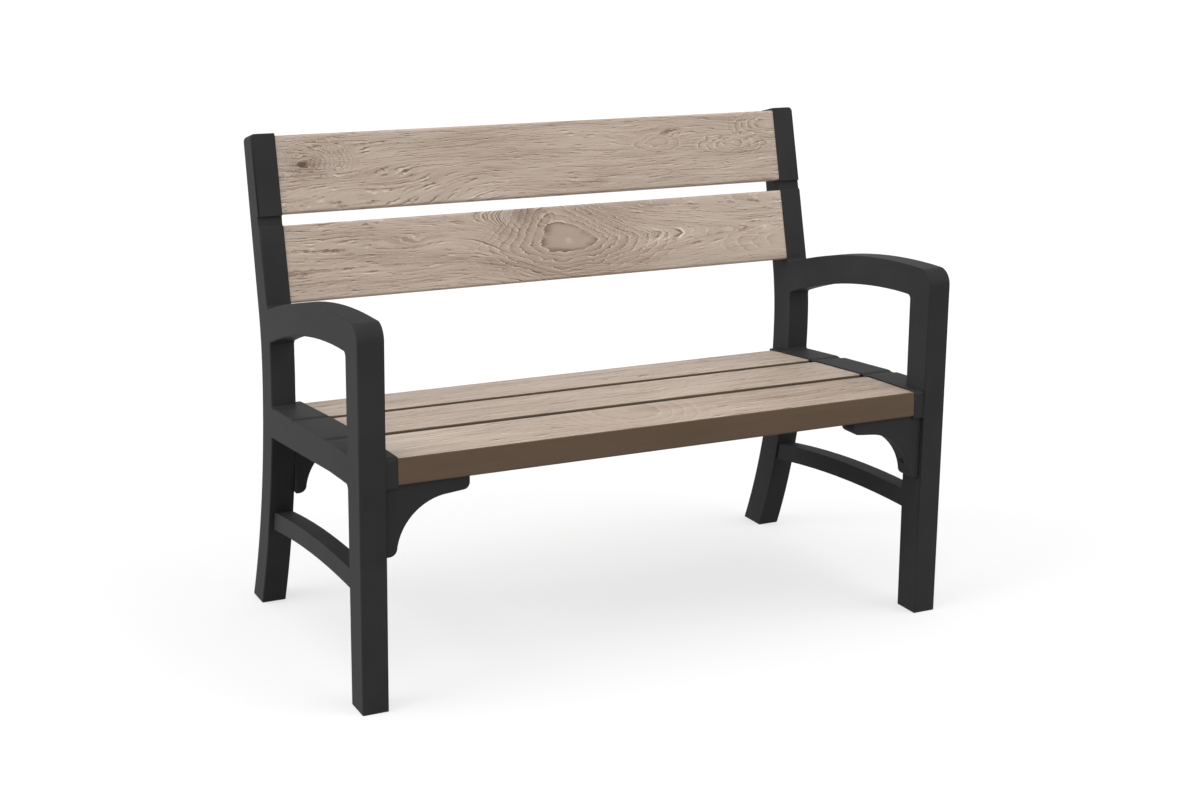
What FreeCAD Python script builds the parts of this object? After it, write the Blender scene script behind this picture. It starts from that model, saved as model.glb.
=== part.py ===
"""Garden bench: two moulded side frames carry three seat slats and two back slats.

Axes: X runs along the bench, Y from the front edge to the back, Z up from the ground.
Every piece is drawn with Y = 0 at the front of the front legs, and is then moved so that
the origin lies on the ground under the middle of the bench. Lengths are in millimetres.
"""

import FreeCAD, Part
import math
import os
import Sketcher
from FreeCAD import Placement, Rotation, Vector

# Driving dimensions, in millimetres and degrees
SIZES = {
    "overall_width": 1120.0,
    "overall_depth": 611.5,
    # side frame, seen from the side
    "frame_thick": 45.0,
    "leg_depth_foot": 53.0,
    "leg_depth_top": 57.0,
    "run_into_post": 15.0,
    "arm_crest_up": 645.0,
    "arm_crest_in": 50.0,
    "arm_top_bend": 1300.0,
    "arm_corner_bend": 29.0,
    "arm_under_up": 591.0,
    "arm_under_in": 55.0,
    "arm_under_bend": 1150.0,
    "waist_in": 459.0,
    "waist_up": 460.0,
    "waist_back_in": 518.0,
    "waist_back_up": 450.0,
    "back_tilt": 14.0,
    "back_bend": 540.0,
    "post_back_tilt": 12.5,
    "post_back_bend": 560.0,
    "rear_leg_bend": 1200.0,
    "rear_leg_back_bend": 1130.0,
    "post_top_run": 295.0,
    "post_back_run": 300.4,
    "post_top_depth": 51.5,
    "post_top_back_round": 10.0,
    # stretcher between the legs
    "stretcher_inset": 9.5,
    "stretcher_thick": 31.5,
    "stretcher_crest_in": 112.0,
    "stretcher_top_up": 224.0,
    "stretcher_under_up": 190.8,
    "stretcher_bend": 2350.0,
    # seat rail, a housing that takes the ends of the seat slats
    "rail_thick": 66.0,
    "rail_front_in": 1.5,
    "rail_back_in": 497.0,
    "rail_wall": 2.0,
    "rail_under_front_up": 375.5,
    "rail_under_knee_in": 150.0,
    "rail_under_knee_up": 369.5,
    "rail_under_back_up": 339.0,
    "rail_notch_deep": 2.4,
    "rail_notch_start": 12.0,
    "rail_notch_lip": 1.0,
    # seat slats
    "seat_front_in": 2.0,
    "seat_front_up": 424.7,
    "seat_thick": 45.0,
    "seat_gap": 8.0,
    "front_slat_wide": 154.0,
    "middle_slat_wide": 168.0,
    "rear_slat_wide": 154.0,
    "front_slat_fall": 2.2,
    "middle_slat_fall": 4.1,
    "rear_slat_fall": 4.8,
    "slat_round": 8.0,
    "slat_nose_round": 2.0,
    "slat_wall": 4.0,
    "slat_web": 3.0,
    "slat_shoulder": 6.0,
    "socket_deep": 18.0,
    # back slats
    "back_slat_thick": 28.0,
    "back_slat_start": -8.0,
    "lower_slat_wide": 138.0,
    "upper_slat_wide": 140.0,
    "back_slat_gap": 20.5,
    "back_slat_round": 5.0,
    "post_pad_proud": 2.0,
    "post_socket_deep": 14.0,
    "post_groove_deep": 6.0,
    "post_groove_land": 2.5,
    # corner brackets
    "bracket_thick": 38.0,
    "bracket_reach": 146.0,
    "bracket_drop": 119.5,
    "bracket_leg_lobe": 20.3,
    "bracket_leg_corner": 14.0,
    "bracket_seat_lobe": 23.0,
    "bracket_bend": 95.4,
    "bracket_bend_end_in": 100.4,
    "bracket_bend_end_drop": 26.3,
    "bracket_corner": 12.0,
    "front_bracket_in": 6.0,
    "rear_bracket_in": 470.0,
    # rounded edges of the mouldings
    "edge_round": 3.0,
    "opening_chamfer": 1.8,
    "back_edge_round": 8.0,
    "inner_corner": 8.0,
    "small_corner": 3.5,
    # screw heads, seated on the mouldings
    "screw_head_radius": 4.5,
    "screw_head_tall": 2.4,
    "seat_screw_from_end": 9.0,
    "back_screw_from_end": 7.0,
    "bracket_screw_in": 117.0,
    "bracket_screw_back": 11.0,
    "bracket_recess_radius": 5.2,
    "bracket_recess_floor": 14.0,
    "bracket_recess_under": 89.0,
}

# Where two screws sit across a slat, as shares of its width
SEAT_SCREW_SHARES = (0.38, 0.78)
BACK_SCREW_SHARES = (0.25, 0.75)

# Open cells that run through each plank
CELLS = 3

# Places nearer to each other than this are one place, and a longer edge runs along a member
SAME_PLACE = 0.01
LONG_EDGE = 50.0

# How far a cut starts outside the piece that it cuts
CLEAR = 3.0

# Volume that a cut must take away to count, in cubic millimetres
LEAST_CUT = 1.0


class Size:
    """A dimension: its number, and the expression that gives it from the sheet."""

    def __init__(self, number, text):
        self.number = float(number)
        self.text = text

    def __add__(self, other):
        return joined(self, "+", other)

    def __radd__(self, other):
        return joined(other, "+", self)

    def __sub__(self, other):
        return joined(self, "-", other)

    def __rsub__(self, other):
        return joined(other, "-", self)

    def __mul__(self, other):
        return joined(self, "*", other)

    def __rmul__(self, other):
        return joined(other, "*", self)

    def __truediv__(self, other):
        return joined(self, "/", other)

    def __neg__(self):
        return joined(0, "-", self)


def joined(first, sign, second):
    first, second = plain(first), plain(second)
    a, b = first.number, second.number
    number = {"+": a + b, "-": a - b, "*": a * b, "/": a / b if b else 0.0}[sign]
    return Size(number, f"({first.text} {sign} {second.text})")


def plain(thing):
    return thing if isinstance(thing, Size) else Size(thing, f"{float(thing):g}")


def size(name):
    return Size(SIZES[name], "Sizes." + name)


def sine(angle):
    return Size(math.sin(math.radians(angle.number)), f"sin({angle.text})")


def cosine(angle):
    return Size(math.cos(math.radians(angle.number)), f"cos({angle.text})")


def tangent(angle):
    return Size(math.tan(math.radians(angle.number)), f"tan({angle.text})")


def arc_tangent(slope):
    return Size(math.degrees(math.atan(slope.number)), f"(atan({slope.text}) / 1 deg)")


def root(thing):
    return Size(math.sqrt(thing.number), f"sqrt({thing.text})")


def bind(thing, setting, measure):
    thing.setExpression(setting, plain(measure).text)


def fill_sheet(doc):
    sheet = doc.addObject("Spreadsheet::Sheet", "Sizes")
    for row, (name, number) in enumerate(SIZES.items(), start=1):
        sheet.set(f"A{row}", name)
        sheet.set(f"B{row}", f"{number:g}")
        sheet.setAlias(f"B{row}", name)
    doc.recompute()


# Sketching

PLANES = {"side": "YZ_Plane", "front": "XZ_Plane"}


def sketch_on(body, name, plane, offset=0, base=(0, 0), turn=0):
    """A sketch on one of the body's origin planes, moved and turned clockwise."""
    sketch = body.newObject("Sketcher::SketchObject", name)
    origin = next(p for p in body.Origin.OriginFeatures if p.Role == PLANES[plane])
    sketch.AttachmentSupport = (origin, [""])
    sketch.MapMode = "FlatFace"
    across, up, off, angle = [plain(v) for v in (*base, offset, turn)]
    sketch.AttachmentOffset = Placement(
        Vector(across.number, up.number, off.number),
        Rotation(Vector(0, 0, -1), angle.number),
    )
    bind(sketch, "AttachmentOffset.Base.x", across)
    bind(sketch, "AttachmentOffset.Base.y", up)
    bind(sketch, "AttachmentOffset.Base.z", off)
    if angle.number:
        bind(sketch, "AttachmentOffset.Rotation.Angle", angle)
    return sketch


def outline(sketch, corners):
    """Draw a closed outline and fix every corner and bend to the sheet.

    A corner is (across, up) or (across, up, side, radius): the run to the next corner is
    then an arc of that radius, whose centre lies to that side of the way there.
    """
    runs = []
    for index, corner in enumerate(corners):
        following = corners[(index + 1) % len(corners)]
        start = Vector(plain(corner[0]).number, plain(corner[1]).number, 0)
        end = Vector(plain(following[0]).number, plain(following[1]).number, 0)
        if len(corner) == 2:
            runs.append((sketch.addGeometry(Part.LineSegment(start, end)), 1, 2))
            continue
        side, radius = corner[2], plain(corner[3])
        chord = end - start
        to_left = Vector(-chord.y, chord.x, 0).normalize()
        rise = math.sqrt(radius.number**2 - chord.Length**2 / 4)
        centre = (start + end) * 0.5 + to_left * (rise if side == "left" else -rise)
        first, last = (start, end) if side == "left" else (end, start)
        circle = Part.Circle(centre, Vector(0, 0, 1), radius.number)
        arc = Part.ArcOfCircle(
            circle,
            math.atan2(first.y - centre.y, first.x - centre.x),
            math.atan2(last.y - centre.y, last.x - centre.x),
        )
        run = sketch.addGeometry(arc)
        runs.append((run, 1, 2) if side == "left" else (run, 2, 1))
        fix(sketch, "Radius", (run,), radius)
    for index, (run, start, end) in enumerate(runs):
        next_run, next_start, _ = runs[(index + 1) % len(runs)]
        sketch.addConstraint(
            Sketcher.Constraint("Coincident", run, end, next_run, next_start)
        )
        fix(sketch, "DistanceX", (-1, 1, run, start), corners[index][0])
        fix(sketch, "DistanceY", (-1, 1, run, start), corners[index][1])


def fix(sketch, kind, where, measure):
    measure = plain(measure)
    made = sketch.addConstraint(Sketcher.Constraint(kind, *where, measure.number))
    sketch.setExpression(f"Constraints[{made}]", measure.text)


def circle_at(sketch, across, up, radius):
    centre = Vector(plain(across).number, plain(up).number, 0)
    ring = sketch.addGeometry(
        Part.Circle(centre, Vector(0, 0, 1), plain(radius).number)
    )
    fix(sketch, "DistanceX", (-1, 1, ring, 3), across)
    fix(sketch, "DistanceY", (-1, 1, ring, 3), up)
    fix(sketch, "Radius", (ring,), radius)


# Where things lie


def seat_places():
    """Each seat slat's top front edge, its width and its fall towards the back."""
    places = {}
    inward, up = size("seat_front_in"), size("seat_front_up")
    for name in ("front", "middle", "rear"):
        wide, fall = size(f"{name}_slat_wide"), size(f"{name}_slat_fall")
        places[name] = (inward, up, wide, fall)
        step = wide + size("seat_gap")
        inward = inward + step * cosine(fall)
        up = up - step * sine(fall)
    return places


def on_slat(place, along, lift):
    """A point over a seat slat: so far along its width and so far off its top face."""
    inward, up, _, fall = place
    return (
        inward + along * cosine(fall) + lift * sine(fall),
        up - along * sine(fall) + lift * cosine(fall),
    )


def over_slat(place, inward, lift):
    """The height over a seat slat's top face at a given distance from the front."""
    start, up, _, fall = place
    return up - (inward - start) * tangent(fall) + lift / cosine(fall)


def back_foot():
    """Where the straight front of the back post starts, above its curved waist."""
    tilt, bend = size("back_tilt"), size("back_bend")
    return (
        size("waist_in") + bend * (1 - cosine(tilt)),
        size("waist_up") + bend * sine(tilt),
    )


def on_back(run, depth):
    """A point so far up the straight front of the post and so far behind it."""
    inward, up = back_foot()
    tilt = size("back_tilt")
    return (
        inward + run * sine(tilt) + depth * cosine(tilt),
        up + run * cosine(tilt) - depth * sine(tilt),
    )


def back_places():
    """How far up the post each back slat starts, and its width."""
    lower = size("back_slat_start")
    upper = lower + size("lower_slat_wide") + size("back_slat_gap")
    return {
        "lower": (lower, size("lower_slat_wide")),
        "upper": (upper, size("upper_slat_wide")),
    }


def arch(inward, crest_in, crest_up, bend):
    """The height of an arch of one radius, at a distance from the front."""
    return crest_up - bend + root(bend * bend - (inward - crest_in) * (inward - crest_in))


# Features of a body


def new_body(doc, name):
    return doc.addObject("PartDesign::Body", name)


def pad(body, sketch, name, length, reverse=False):
    made = body.newObject("PartDesign::Pad", name)
    made.Profile = sketch
    made.Reversed = reverse
    made.Length = plain(length).number
    bind(made, "Length", length)
    body.Document.recompute()
    return made


def pocket(body, sketch, name, length, reverse=False):
    """Cut a pocket, and stop if it took nothing away."""
    before = body.Shape.Volume
    made = body.newObject("PartDesign::Pocket", name)
    made.Profile = sketch
    made.Reversed = reverse
    made.Length = plain(length).number
    bind(made, "Length", length)
    body.Document.recompute()
    if made.Shape.Volume > before - LEAST_CUT:
        raise SystemExit(f"{name} cut nothing")
    return made


def round_edges(body, name, radius, wanted):
    """Round the edges of the body so far that the test picks."""
    made = dress_edges(body, name, "PartDesign::Fillet", wanted)
    made.Radius = plain(radius).number
    bind(made, "Radius", radius)
    body.Document.recompute()


def chamfer_edges(body, name, width, wanted):
    made = dress_edges(body, name, "PartDesign::Chamfer", wanted)
    made.Size = plain(width).number
    bind(made, "Size", width)
    body.Document.recompute()


def dress_edges(body, name, kind, wanted):
    last = body.Tip
    edges = enumerate(last.Shape.Edges, start=1)
    picked = [f"Edge{number}" for number, edge in edges if wanted(edge)]
    if not picked:
        raise SystemExit(f"{name} found no edge")
    made = body.newObject(kind, name)
    made.Base = (last, picked)
    return made


def rounded_box(sketch, low, high, rounds):
    """A rectangle whose corners, from the low one round to the left, have own radii."""
    left, bottom = low
    right, top = high
    first, second, third, fourth = rounds
    outline(
        sketch,
        [
            (left + first, bottom),
            (right - second, bottom, "left", second),
            (right, bottom + second),
            (right, top - third, "left", third),
            (right - third, top),
            (left + fourth, top, "left", fourth),
            (left, top - fourth),
            (left, bottom + first, "left", first),
        ],
    )


def lies_across(inward, up, reach=3.0):
    """A test for the edges that run along X through a corner of the side view."""
    inward, up = plain(inward).number, plain(up).number

    def wanted(edge):
        box = edge.BoundBox
        if box.YLength > SAME_PLACE or box.ZLength > SAME_PLACE:
            return False
        return math.hypot(box.Center.y - inward, box.Center.z - up) < reach

    return wanted


# The side frame


def draw_post(body):
    """The back post and rear leg: one bowed member, tilted above and splayed below."""
    tilt_back, bend_back = size("post_back_tilt"), size("post_back_bend")
    waist = (size("waist_in"), size("waist_up"))
    waist_back = (size("waist_back_in"), size("waist_back_up"))
    foot_bend, foot_back_bend = size("rear_leg_bend"), size("rear_leg_back_bend")
    bend_top = (
        waist_back[0] + bend_back * (1 - cosine(tilt_back)),
        waist_back[1] + bend_back * sine(tilt_back),
    )
    run = size("post_back_run")
    foot = waist[0] + foot_bend - root(foot_bend * foot_bend - waist[1] * waist[1])
    foot_back = waist_back[0] + foot_back_bend
    foot_back = foot_back - root(
        foot_back_bend * foot_back_bend - waist_back[1] * waist_back[1]
    )
    sketch = sketch_on(body, "post_outline", "side", -size("overall_width") / 2)
    outline(
        sketch,
        [
            (foot, 0),
            (foot_back, 0, "right", foot_back_bend),
            (*waist_back, "right", bend_back),
            bend_top,
            (bend_top[0] + run * sine(tilt_back), bend_top[1] + run * cosine(tilt_back)),
            on_back(size("post_top_run"), plain(0)),
            (*back_foot(), "left", size("back_bend")),
            (*waist, "left", foot_bend),
        ],
    )
    pad(body, sketch, "post", size("frame_thick"))


def arm_top(inward):
    return arch(inward, size("arm_crest_in"), size("arm_crest_up"), size("arm_top_bend"))


def arm_under(inward):
    bend = size("arm_under_bend")
    return arch(inward, size("arm_under_in"), size("arm_under_up"), bend)


def stretcher_edge(inward, crest_up):
    return arch(inward, size("stretcher_crest_in"), crest_up, size("stretcher_bend"))


def rail_under(inward):
    """The height of the rail's underside, which falls in two straight runs."""
    front = (size("rail_front_in"), size("rail_under_front_up"))
    knee = (size("rail_under_knee_in"), size("rail_under_knee_up"))
    back = (size("rail_back_in"), size("rail_under_back_up"))
    low, high = (front, knee) if plain(inward).number < knee[0].number else (knee, back)
    slope = (high[1] - low[1]) / (high[0] - low[0])
    return low[1] + slope * (inward - low[0])


def inside_post():
    """A distance from the front that lies within the post at arm and stretcher height."""
    return (size("waist_in") + size("waist_back_in")) / 2 + size("run_into_post")


def draw_arm_and_leg(body):
    """The armrest, arched over its length, and the front leg, which tapers to the foot."""
    end = inside_post()
    leg_top = size("leg_depth_top")
    sketch = sketch_on(body, "arm_outline", "side", -size("overall_width") / 2)
    outline(
        sketch,
        [
            (0, 0),
            (size("leg_depth_foot"), 0),
            (leg_top, arm_under(leg_top), "right", size("arm_under_bend")),
            (end, arm_under(end)),
            (end, arm_top(end), "left", size("arm_top_bend")),
            (0, arm_top(plain(0))),
        ],
    )
    pad(body, sketch, "arm_and_leg", size("frame_thick"))


def draw_rail(body, seats):
    """The seat rail: its top follows the slats, with a soft dip at each gap between them.

    Each side of a dip is an arc that leaves the top without a corner.
    """
    proud, deep = size("rail_wall"), size("rail_notch_deep")
    front_in, back_in = size("rail_front_in"), size("rail_back_in")
    knee = (size("rail_under_knee_in"), size("rail_under_knee_up"))
    start, lip = size("rail_notch_start"), size("rail_notch_lip")
    low = proud - deep
    bend = ((start - lip) * (start - lip) + deep * deep) / (2 * deep)
    top = [(back_in, over_slat(seats["rear"], back_in, proud))]
    for behind, ahead in (("rear", "middle"), ("middle", "front")):
        top.append((*on_slat(seats[behind], start, proud), "left", bend))
        top.append(on_slat(seats[behind], lip, low))
        wide = seats[ahead][2]
        top.append((*on_slat(seats[ahead], wide - lip, low), "left", bend))
        top.append(on_slat(seats[ahead], wide - start, proud))
    top.append((front_in, over_slat(seats["front"], front_in, proud)))
    sketch = sketch_on(body, "rail_outline", "side", -size("overall_width") / 2)
    outline(
        sketch,
        [
            (front_in, size("rail_under_front_up")),
            knee,
            (back_in, size("rail_under_back_up")),
            *top,
        ],
    )
    pad(body, sketch, "rail", size("rail_thick"))


def draw_stretcher(body):
    """The thin arched stretcher, set in from both faces of the legs."""
    start = size("leg_depth_foot") / 2
    end = inside_post()
    top, under = size("stretcher_top_up"), size("stretcher_under_up")
    bend = size("stretcher_bend")
    outer = size("stretcher_inset") - size("overall_width") / 2
    sketch = sketch_on(body, "stretcher_outline", "side", outer)
    outline(
        sketch,
        [
            (start, stretcher_edge(start, under), "right", bend),
            (end, stretcher_edge(end, under)),
            (end, stretcher_edge(end, top), "left", bend),
            (start, stretcher_edge(start, top)),
        ],
    )
    pad(body, sketch, "stretcher", size("stretcher_thick"))


def post_front(up):
    """The front of the post where it is curved: above the waist or down the leg."""
    above = plain(up).number > SIZES["waist_up"]
    bend = size("back_bend") if above else size("rear_leg_bend")
    rise = up - size("waist_up")
    return size("waist_in") + bend - root(bend * bend - rise * rise)


def meeting(across_at, up_at, start_up):
    """Where a member that runs level meets an upright one, found by closing in on it."""
    rounds = 20
    up = start_up
    for _ in range(rounds):
        across = plain(across_at(up).number)
        up = plain(up_at(across).number)
    return across, up


def post_middle(up):
    """The post's middle line at a height: half its depth behind its front there."""
    bend_end_in, bend_end_up = back_foot()
    if up > bend_end_up.number:
        front = bend_end_in + (up - bend_end_up) * tangent(size("back_tilt"))
    else:
        front = post_front(plain(up))
    return front.number + SIZES["post_top_depth"] / 2


def leg_back(up):
    """The back of the front leg, which leans with its taper."""
    foot, top = size("leg_depth_foot"), size("leg_depth_top")
    return foot + (top - foot) * up / size("arm_under_up")


def round_corners(body, seats):
    """Round the corners that show in the side view, where members meet and end."""
    proud = size("rail_wall")
    inner, small = size("inner_corner"), size("small_corner")
    arm_front = (plain(0), arm_top(plain(0)))
    rail_front = size("rail_front_in")
    arm_up, seat_up = size("arm_under_up"), size("seat_front_up")
    rail_up, rail_back_up = size("rail_under_front_up"), size("rail_under_back_up")
    corners = {
        "arm_nose": (size("arm_corner_bend"), [arm_front]),
        "opening_corners": (
            inner,
            [
                (size("leg_depth_top"), arm_under(size("leg_depth_top"))),
                meeting(post_front, arm_under, arm_up),
                meeting(post_front, arm_top, arm_up),
                meeting(leg_back, rail_under, rail_up),
            ],
        ),
        "tight_corners": (
            small,
            [
                meeting(leg_back, lambda y: over_slat(seats["front"], y, proud), seat_up),
                meeting(post_front, lambda y: over_slat(seats["rear"], y, proud), seat_up),
                meeting(post_front, rail_under, rail_back_up),
            ],
        ),
        "boss_corner": (
            inner,
            [(rail_front, over_slat(seats["front"], rail_front, proud))],
        ),
        "post_top_back": (
            size("post_top_back_round"),
            [on_back(size("post_top_run"), size("post_top_depth"))],
        ),
    }
    for name, (radius, places) in corners.items():
        tests = [lies_across(*place) for place in places]
        round_edges(body, name, radius, lambda e: any(test(e) for test in tests))


def round_arrises(body):
    """Soften the long edges of the outer face, most of all at the back.

    The rounding runs on through every smooth corner, so the sharp corners at the feet and
    at the front of the post's top are where one radius gives way to the other.
    """
    outer = -SIZES["overall_width"] / 2
    sag_of_arm = 12.0

    def on_outer_face(edge):
        box = edge.BoundBox
        return abs(box.XMin - outer) < SAME_PLACE and abs(box.XMax - outer) < SAME_PLACE

    def at_back(edge):
        box = edge.BoundBox
        upright = box.ZLength > LONG_EDGE and box.YLength < box.ZLength
        return upright and box.Center.y > post_middle(box.Center.z)

    def back_edge(edge):
        return on_outer_face(edge) and at_back(edge)

    def front_edge(edge):
        box = edge.BoundBox
        at_front = box.YMax < SAME_PLACE
        return on_outer_face(edge) and at_front and box.ZLength > LONG_EDGE

    def opening_edge(edge):
        box = edge.BoundBox
        at_foot = box.ZMax < SAME_PLACE
        if not on_outer_face(edge) or at_foot or at_back(edge):
            return False
        middle = box.Center
        over_post = min(middle.y, SIZES["waist_in"])
        over_arm = middle.z > arm_top(plain(over_post)).number - sag_of_arm
        behind_nose = middle.y > SIZES["arm_corner_bend"]
        return behind_nose and not over_arm

    round_edges(body, "outer_back_edges", size("back_edge_round"), back_edge)
    round_edges(body, "outer_front_edges", size("edge_round"), front_edge)
    chamfer_edges(body, "opening_edges", size("opening_chamfer"), opening_edge)


def cut_groove(body):
    """The groove across the post between the two back slats, its lower side sloped."""
    run = size("back_slat_start") + size("lower_slat_wide") + size("back_slat_gap") / 2
    deep = size("post_groove_deep")
    half = size("back_slat_gap") / 2 - size("post_groove_land")
    corners = [
        on_back(run + half, plain(-CLEAR)),
        on_back(run - half - deep - CLEAR, plain(-CLEAR)),
        on_back(run - half, deep),
        on_back(run + half, deep),
    ]
    inner = size("frame_thick") - size("overall_width") / 2
    sketch = sketch_on(body, "groove_outline", "side", inner)
    outline(sketch, corners)
    pocket(body, sketch, "groove", size("frame_thick"))


# The slats and the sockets that take their ends


def seat_section(sketch, name, wide):
    """The section of a seat slat: the front one has a sharper nose."""
    edge, small = size("slat_round"), size("small_corner")
    nose = size("slat_nose_round") if name == "front" else edge
    rounds = (small, small, edge, nose)
    rounded_box(sketch, (plain(0), -size("seat_thick")), (wide, plain(0)), rounds)


def back_section(sketch, wide):
    edge = size("back_slat_round")
    high = (size("back_slat_thick"), wide)
    rounded_box(sketch, (plain(0), plain(0)), high, (edge, edge, edge, edge))


def cut_sockets(body, seats):
    inner = size("rail_thick") - size("overall_width") / 2
    for name, (inward, up, wide, fall) in seats.items():
        sketch = sketch_on(body, f"{name}_socket_outline", "side", inner, (inward, up), fall)
        if name == "front":
            edge, small = size("slat_round"), size("small_corner")
            rounded_box(
                sketch,
                (size("slat_shoulder"), -size("seat_thick")),
                (wide, plain(0)),
                (small, small, edge, small),
            )
        else:
            seat_section(sketch, name, wide)
        pocket(body, sketch, f"{name}_socket", size("socket_deep"))
    inner = size("frame_thick") - size("overall_width") / 2
    for name, (start, wide) in back_places().items():
        base = on_back(start, size("post_pad_proud"))
        sketch = sketch_on(
            body, f"{name}_socket_outline", "side", inner, base, size("back_tilt")
        )
        back_section(sketch, wide)
        pocket(body, sketch, f"{name}_socket", size("post_socket_deep"))


def hollow(body, name, start, base, turn, low, high, upright, long):
    """Run a row of open cells through a plank, parted by webs."""
    wall, web = size("slat_wall"), size("slat_web")
    across, up = (high[0] - low[0], high[1] - low[1])
    whole = up if upright else across
    each = (whole - 2 * wall - (CELLS - 1) * web) / CELLS
    for cell in range(CELLS):
        sketch = sketch_on(body, f"{name}_cell_outline_{cell + 1}", "side", start, base, turn)
        from_edge = wall + cell * (each + web)
        if upright:
            near = (low[0] + wall, low[1] + from_edge)
            far = (high[0] - wall, low[1] + from_edge + each)
        else:
            near = (low[0] + from_edge, low[1] + wall)
            far = (low[0] + from_edge + each, high[1] - wall)
        outline(sketch, [near, (far[0], near[1]), far, (near[0], far[1])])
        pocket(body, sketch, f"{name}_cell_{cell + 1}", long, reverse=True)


def seat_slat(doc, name, place):
    inward, up, wide, fall = place
    reach = size("overall_width") / 2 - size("rail_thick") + size("socket_deep")
    body = new_body(doc, f"{name}_seat_body")
    sketch = sketch_on(body, "section", "side", -reach, (inward, up), fall)
    seat_section(sketch, name, wide)
    pad(body, sketch, "plank", 2 * reach)
    low, high = (plain(0), -size("seat_thick")), (wide, plain(0))
    hollow(body, name, -reach, (inward, up), fall, low, high, False, 2 * reach)
    if name == "front":
        cut_shoulders(body, inward, up, fall, reach)
    return body


def cut_shoulders(body, inward, up, fall, reach):
    """Step the front slat's nose back at both ends, so that the rail covers its end."""
    deep, tall = size("slat_shoulder"), size("seat_thick")
    for end, start, reverse in (("left", -reach, True), ("right", reach, False)):
        sketch = sketch_on(body, f"{end}_shoulder_outline", "side", start, (inward, up), fall)
        outline(
            sketch,
            [(-CLEAR, -tall - CLEAR), (deep, -tall - CLEAR), (deep, CLEAR), (-CLEAR, CLEAR)],
        )
        pocket(body, sketch, f"{end}_shoulder", size("socket_deep"), reverse)


def back_slat(doc, name, start, wide):
    base, tilt = on_back(start, size("post_pad_proud")), size("back_tilt")
    reach = size("overall_width") / 2 - size("frame_thick") + size("post_socket_deep")
    body = new_body(doc, f"{name}_back_body")
    sketch = sketch_on(body, "section", "side", -reach, base, tilt)
    back_section(sketch, wide)
    pad(body, sketch, "plank", 2 * reach)
    low, high = (plain(0), plain(0)), (size("back_slat_thick"), wide)
    hollow(body, name, -reach, base, tilt, low, high, True, 2 * reach)
    return body


# The corner brackets under the seat


def bracket_top(place, inward):
    return over_slat(place, inward, -size("seat_thick"))


def bracket(doc, name, inward, place):
    """A curved bracket between leg and slat, its top cut to the slope of the seat."""
    thick, reach = size("bracket_thick"), size("bracket_reach")
    corner, leg_corner = size("bracket_corner"), size("bracket_leg_corner")
    leg_lobe, seat_lobe = size("bracket_leg_lobe"), size("bracket_seat_lobe")
    top = bracket_top(place, inward)
    bottom = top - size("bracket_drop")
    leg = size("frame_thick") - size("overall_width") / 2
    bend_end = leg + size("bracket_bend_end_in")
    body = new_body(doc, f"{name}_bracket_body")
    sketch = sketch_on(body, "outline", "front", -(inward + thick))
    outline(
        sketch,
        [
            (leg, bottom),
            (leg + leg_lobe - leg_corner, bottom, "left", leg_corner),
            (leg + leg_lobe, bottom + leg_corner, "right", size("bracket_bend")),
            (bend_end, top - size("bracket_bend_end_drop")),
            (leg + reach - corner, top - seat_lobe, "left", corner),
            (leg + reach, top - seat_lobe + corner),
            (leg + reach, top),
            (leg, top),
        ],
    )
    pad(body, sketch, "bracket", thick)
    rail = size("rail_thick") - size("overall_width") / 2
    back = inward + thick
    under_rail = sketch_on(body, "under_rail_outline", "side", rail)
    outline(
        under_rail,
        [
            (inward, rail_under(inward)),
            (back, rail_under(back)),
            (back, top + CLEAR),
            (inward, top + CLEAR),
        ],
    )
    pocket(body, under_rail, "under_rail", size("rail_thick") - size("frame_thick"))
    under_slat = sketch_on(body, "under_slat_outline", "side", rail)
    outline(
        under_slat,
        [
            (inward, top),
            (back, bracket_top(place, back)),
            (back, top + CLEAR),
            (inward, top + CLEAR),
        ],
    )
    pocket(body, under_slat, "under_slat", reach, reverse=True)
    mouth = size("bracket_leg_lobe") * 2
    recess = sketch_on(body, "recess_outline", "side", leg + mouth)
    recess_up = top - size("bracket_recess_under")
    circle_at(recess, inward + thick / 2, recess_up, size("bracket_recess_radius"))
    pocket(body, recess, "recess", mouth - size("bracket_recess_floor"))
    return body


# Screw heads


def screw_head(doc, name, place, axis, turn):
    """A head seated at the place; unturned, it stands up from there."""
    made = doc.addObject("Part::Cylinder", name)
    made.Placement = Placement(Vector(0, 0, 0), Rotation(Vector(*axis), turn.number))
    for letter, distance in zip("xyz", place):
        bind(made, f"Placement.Base.{letter}", distance)
    bind(made, "Placement.Rotation.Angle", turn)
    bind(made, "Radius", size("screw_head_radius"))
    bind(made, "Height", size("screw_head_tall"))
    return made


def group(doc, name, pieces):
    made = doc.addObject("Part::Compound", name)
    made.Links = pieces
    return made


def rail_fall(inward):
    """How far the rail's underside falls over a short way, as an angle."""
    step = 10
    drop = rail_under(inward) - rail_under(inward + step)
    return arc_tangent(drop / step)


def seat_screws(doc, seats):
    """Two screws up through the rail into each end of each seat slat."""
    x = size("rail_thick") - size("overall_width") / 2 - size("seat_screw_from_end")
    pieces = []
    for name, seat in seats.items():
        for number, share in enumerate(SEAT_SCREW_SHARES, start=1):
            inward = on_slat(seat, seat[2] * share, plain(0))[0]
            place = (x, to_middle(inward), rail_under(inward))
            label = f"{name}_seat_screw_{number}"
            turn = 180 - rail_fall(inward)
            pieces.append(screw_head(doc, label, place, (1, 0, 0), turn))
    return group(doc, "seat_screws", pieces)


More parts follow.
